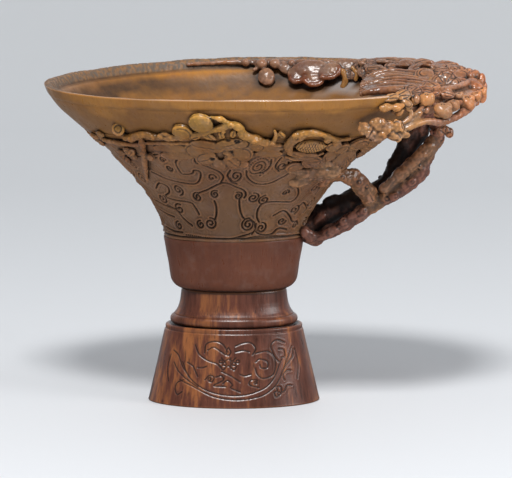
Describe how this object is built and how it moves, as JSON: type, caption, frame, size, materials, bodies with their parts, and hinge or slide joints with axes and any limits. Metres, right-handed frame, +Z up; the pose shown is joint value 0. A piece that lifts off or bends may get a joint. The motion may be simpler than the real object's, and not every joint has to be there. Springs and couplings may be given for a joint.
{
  "type": "horn drinking cup with stand",
  "caption": "Carved horn drinking cup with a flaring oval mouth, a pouring lip, branch relief and an openwork branch handle, standing loose on an oval wooden stand.",
  "frame": {"origin": "centre of the stand's flat underside, on the table", "axes": "+Z up, +X towards the branch handle, -X towards the pouring lip, -Y towards the viewer of the picture"},
  "size_m": [0.1512, 0.107, 0.1141],
  "materials": {
    "stand_wood": "waxed dark red-brown hardwood, grain upright",
    "horn_heel": "polished dark reddish horn, mottled",
    "horn_bowl": "polished ochre horn with fine upright fibres",
    "horn_handle": "waxed red-brown horn, nearly black in the hollows",
    "horn_canopy": "waxed brown to amber horn",
    "horn_amber": "translucent amber horn, polished",
    "horn_relief": "waxed olive-brown horn with dark cut lines",
    "horn_rim": "waxed brown horn with greyish high spots"
  },
  "bodies": {
    "stand": {"stand_foot": "stand_wood", "stand_neck": "stand_wood"},
    "cup": {"cup_heel": "horn_heel", "cup_bowl": "horn_bowl", "handle_bough": "horn_handle", "handle_back_bough": "horn_handle", "handle_fork": "horn_handle", "handle_root": "horn_handle", "canopy_boughs": "horn_canopy", "canopy_fans": "horn_canopy", "canopy_buds": "horn_amber", "front_branch": "horn_relief", "front_blossoms": "horn_relief", "front_leaves": "horn_relief", "seed_pod": "horn_relief", "back_branch": "horn_relief", "back_blossoms": "horn_relief", "rim_branch": "horn_rim", "rim_fungus": "horn_rim"}
  },
  "joints": [
    {"name": "cup_lift", "type": "slide", "parent": "stand", "child": "cup", "axis": [0, 0, 1], "range_m": [0, 0.04]}
  ]
}
